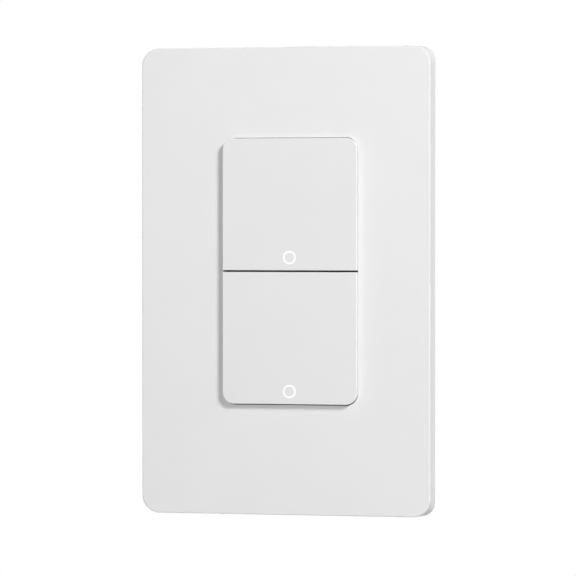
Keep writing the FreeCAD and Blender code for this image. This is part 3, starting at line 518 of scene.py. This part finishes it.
def surface_part_places():
    """Where the small surface parts sit: x, z, whether upright, and on which side of the board."""
    board_low, board_high = limits("control_board")
    socket_top = limits("board_socket")[1].z
    radio_foot = limits("radio_board")[0].z
    chip_low, chip_high = limits("control_chip")
    places = []
    for row in range(SURFACE_ROWS):
        z = socket_top + (radio_foot - socket_top) * (row + 0.5) / SURFACE_ROWS
        for column, x in enumerate(SURFACE_COLUMNS):
            if (row + 2 * column) % 5:
                places.append((x + SURFACE_ROW_SHIFT * (row % 2), z, (row + column) % 3 == 0, 1))
    for row in range(CHIP_ROWS):
        z = chip_low.z + (chip_high.z - chip_low.z) * (row + 0.5) / CHIP_ROWS
        places += [(chip_high.x + away, z, False, 1) for away in BESIDE_CHIP]
    for led, switch in (("upper_led", "upper_tact_switch"), ("lower_led", "lower_tact_switch")):
        led_low, led_high = limits(led)
        switch_low, switch_high = limits(switch)
        led_x, led_z = (led_low.x + led_high.x) / 2, (led_low.z + led_high.z) / 2
        switch_x = (switch_low.x + switch_high.x) / 2
        for side in (-1, 1):
            places.append((led_x + side * BESIDE_LED, led_z, True, -1))
            for z in (switch_low.z + INSIDE_SWITCH_END, switch_high.z - INSIDE_SWITCH_END):
                places.append((switch_x + side * BESIDE_SWITCH, z, True, -1))
    return places, board_low.y, board_high.y


def add_surface_parts(materials):
    """Small resistors with metal ends on both sides of the control board."""
    places, front_y, back_y = surface_part_places()
    bodies = bmesh.new()
    ends = bmesh.new()
    length, width, depth = SURFACE_PART
    for x, z, upright, facing in places:
        face = back_y if facing > 0 else front_y
        along = Vector((0, 0, 1)) if upright else Vector((1, 0, 0))
        across = Vector((1, 0, 0)) if upright else Vector((0, 0, 1))
        middle = Vector((x, face + facing * depth / 2, z))
        reach = along * (length / 2 - SURFACE_PART_END) + across * width * 0.47 + Vector((0, depth * 0.47, 0))
        add_block(bodies, middle - reach, middle + reach, 0.04)
        for side in (-1, 1):
            tip = middle + along * side * (length - SURFACE_PART_END) / 2
            reach = along * SURFACE_PART_END / 2 + across * width / 2 + Vector((0, depth / 2, 0))
            add_block(ends, tip - reach, tip + reach, 0.06)
    add_piece("surface_resistors", bodies, "black_plastic", materials)
    add_piece("surface_resistor_ends", ends, "shield_steel", materials)


def solder_places():
    """Where the leads of the large parts come through the power board."""
    places = []
    low, high = limits("board_pins")
    pitch = (high.x - low.x) / PIN_COUNT
    places += [(low.x + pitch * (pin + 0.5), (low.z + high.z) / 2) for pin in range(PIN_COUNT)]
    for name, margin in SOLDER_INSETS.items():
        low, high = limits(name)
        places += [(x, z) for x in (low.x + margin, high.x - margin) for z in (low.z + margin, high.z - margin)]
        if name.endswith("relay"):
            places.append((low.x + margin, (low.z + high.z) / 2))
    for name in SOLDER_PAIRS:
        low, high = limits(name)
        middle_z = (low.z + high.z) / 2
        places += [((low.x + high.x) / 2, middle_z + side * SOLDER_PAIR_REACH) for side in (-1, 1)]
    return places


def add_solder_joints(materials):
    """Solder joints round the leads on the back of the power board."""
    back_y = limits("power_board")[1].y
    mesh = bmesh.new()
    for x, z in solder_places():
        add_turned(mesh, (x, back_y, z), 1, SOLDER_PROFILE)
    piece = add_piece("solder_joints", mesh, "shield_steel", materials)
    for face in piece.data.polygons:
        face.use_smooth = len(face.vertices) == 4


def add_aerial(materials):
    """Winding copper track that serves as the radio's aerial, above the radio's can."""
    low, high = limits("radio_board")
    can_top = limits("radio_shield")[1].z
    width, depth = AERIAL_TRACK
    foot, top = can_top + AERIAL_MARGIN, high.z - AERIAL_TOP_MARGIN
    pitch = (high.x - low.x - 2 * AERIAL_MARGIN) / (AERIAL_RUNS - 1)
    path = []
    for run in range(AERIAL_RUNS):
        x = low.x + AERIAL_MARGIN + pitch * run
        ends = (foot, top) if run % 2 == 0 else (top, foot)
        path += [Vector((x, 0, z)) for z in ends]
    mesh = bmesh.new()
    sides = []
    for index, point in enumerate(path):
        before = (point - path[index - 1]).normalized() if index else None
        after = (path[index + 1] - point).normalized() if index + 1 < len(path) else None
        before, after = before or after, after or before
        turn = Vector((0, 1, 0))
        offset = (before.cross(turn) + after.cross(turn)) * width / 2
        if abs(before.dot(after)) > 0.5:
            offset /= 2
        sides.append((point + offset, point - offset))
    levels = (high.y, high.y + depth)
    corners = [[[mesh.verts.new(Vector((spot.x, y, spot.z)) * MM) for y in levels] for spot in pair] for pair in sides]
    for (left, right), (next_left, next_right) in zip(corners, corners[1:]):
        mesh.faces.new((left[1], right[1], next_right[1], next_left[1]))
        mesh.faces.new((left[0], right[0], next_right[0], next_left[0]))
        mesh.faces.new((left[0], left[1], next_left[1], next_left[0]))
        mesh.faces.new((right[0], right[1], next_right[1], next_right[0]))
    for left, right in (corners[0], corners[-1]):
        mesh.faces.new((left[0], left[1], right[1], right[0]))
    add_piece("radio_aerial", mesh, "contact_brass", materials)


def aim(thing, target):
    thing.rotation_euler = (target - thing.location).to_track_quat("-Z", "Y").to_euler()


def add_camera():
    data = bpy.data.cameras.new("camera")
    data.lens = CAMERA_LENS
    data.sensor_width = SENSOR_WIDTH
    data.clip_start = 0.01
    camera = bpy.data.objects.new("camera", data)
    bpy.context.scene.collection.objects.link(camera)
    level = math.cos(CAMERA_RISE)
    away = Vector((math.sin(CAMERA_TURN) * level, -math.cos(CAMERA_TURN) * level, math.sin(CAMERA_RISE)))
    camera.location = CAMERA_TARGET + away * CAMERA_DISTANCE
    aim(camera, CAMERA_TARGET)
    bpy.context.scene.camera = camera


def add_lamp(name, direction, distance, size, power, reflected):
    data = bpy.data.lights.new(name, "AREA")
    data.shape = "DISK"
    data.size = size
    data.energy = power
    lamp = bpy.data.objects.new(name, data)
    bpy.context.scene.collection.objects.link(lamp)
    lamp.visible_camera = False
    lamp.visible_glossy = reflected
    lamp.location = Vector(direction).normalized() * distance
    aim(lamp, Vector((0.0, 0.0, 0.0)))


def seen_share(tree, kinds):
    """A socket that is 1 for rays of the given kinds."""
    path = tree.nodes.new("ShaderNodeLightPath")
    share = path.outputs[kinds[0]]
    for kind in kinds[1:]:
        larger = tree.nodes.new("ShaderNodeMath")
        larger.operation = "MAXIMUM"
        tree.links.new(share, larger.inputs[0])
        tree.links.new(path.outputs[kind], larger.inputs[1])
        share = larger.outputs["Value"]
    return share


def worked_out(tree, value, steps):
    """A socket put through arithmetic steps, each an operation and its number."""
    for operation, number in steps:
        step = tree.nodes.new("ShaderNodeMath")
        step.operation = operation
        step.inputs[1].default_value = number
        tree.links.new(value, step.inputs[0])
        value = step.outputs["Value"]
    return value


def add_surround():
    """An even soft surround that is seen as plain white."""
    world = bpy.data.worlds.new("surround")
    world.use_nodes = True
    bpy.context.scene.world = world
    tree = world.node_tree
    tree.nodes.clear()
    light = tree.nodes.new("ShaderNodeBackground")
    facing = tree.nodes.new("ShaderNodeVectorMath")
    facing.operation = "DOT_PRODUCT"
    facing.inputs[1].default_value = SURROUND_FROM
    tree.links.new(tree.nodes.new("ShaderNodeTexCoord").outputs["Generated"], facing.inputs[0])
    steps = (("MAXIMUM", 0.0), ("POWER", SURROUND_NARROWING), ("MULTIPLY", SURROUND_FRONT), ("ADD", SURROUND_ALL))
    tree.links.new(worked_out(tree, facing.outputs["Value"], steps), light.inputs["Strength"])
    white = tree.nodes.new("ShaderNodeBackground")
    mixed = tree.nodes.new("ShaderNodeMixShader")
    for background in (light, white):
        background.inputs["Color"].default_value = (1.0, 1.0, 1.0, 1.0)
    share = seen_share(tree, ("Is Camera Ray", "Is Glossy Ray", "Is Transmission Ray"))
    tree.links.new(share, mixed.inputs["Fac"])
    tree.links.new(light.outputs["Background"], mixed.inputs[1])
    tree.links.new(white.outputs["Background"], mixed.inputs[2])
    output = tree.nodes.new("ShaderNodeOutputWorld")
    tree.links.new(mixed.outputs["Shader"], output.inputs["Surface"])


def add_floor():
    """A round pale floor whose rim fades into the white surround."""
    bpy.ops.mesh.primitive_circle_add(vertices=128, radius=FLOOR_RADIUS, fill_type="NGON", location=(0, 0, FLOOR_Z))
    floor = bpy.context.active_object
    floor.name = "floor"
    material = bpy.data.materials.new("floor_paint")
    material.use_nodes = True
    tree = material.node_tree
    shader = tree.nodes["Principled BSDF"]
    shader.inputs["Base Color"].default_value = (0.9, 0.9, 0.9, 1.0)
    shader.inputs["Roughness"].default_value = 0.8
    white = tree.nodes.new("ShaderNodeEmission")
    coords = tree.nodes.new("ShaderNodeTexCoord")
    distance = tree.nodes.new("ShaderNodeVectorMath")
    distance.operation = "LENGTH"
    tree.links.new(coords.outputs["Object"], distance.inputs[0])
    fade = tree.nodes.new("ShaderNodeMapRange")
    fade.interpolation_type = "SMOOTHSTEP"
    fade.inputs["From Min"].default_value = FLOOR_RADIUS * FLOOR_FADE[0]
    fade.inputs["From Max"].default_value = FLOOR_RADIUS * FLOOR_FADE[1]
    tree.links.new(distance.outputs["Value"], fade.inputs["Value"])
    both = tree.nodes.new("ShaderNodeMath")
    both.operation = "MULTIPLY"
    tree.links.new(fade.outputs["Result"], both.inputs[0])
    share = seen_share(tree, ("Is Camera Ray", "Is Glossy Ray", "Is Transmission Ray"))
    tree.links.new(share, both.inputs[1])
    mixed = tree.nodes.new("ShaderNodeMixShader")
    tree.links.new(both.outputs["Value"], mixed.inputs["Fac"])
    tree.links.new(shader.outputs["BSDF"], mixed.inputs[1])
    tree.links.new(white.outputs["Emission"], mixed.inputs[2])
    tree.links.new(mixed.outputs["Shader"], tree.nodes["Material Output"].inputs["Surface"])
    floor.data.materials.append(material)


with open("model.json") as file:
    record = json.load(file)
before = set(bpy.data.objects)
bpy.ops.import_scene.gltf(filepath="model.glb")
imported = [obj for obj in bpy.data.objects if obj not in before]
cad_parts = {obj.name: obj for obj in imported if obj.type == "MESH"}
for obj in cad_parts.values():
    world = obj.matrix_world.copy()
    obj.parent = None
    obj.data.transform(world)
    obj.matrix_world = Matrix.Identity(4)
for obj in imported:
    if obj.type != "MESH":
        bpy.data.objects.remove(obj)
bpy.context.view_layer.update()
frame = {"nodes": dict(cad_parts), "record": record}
materials = dress(frame)
add_surface_parts(materials)
add_solder_joints(materials)
add_aerial(materials)
add_camera()
for lamp_settings in LAMPS:
    add_lamp(*lamp_settings)
add_surround()
add_floor()
bpy.context.scene.view_settings.view_transform = "Standard"
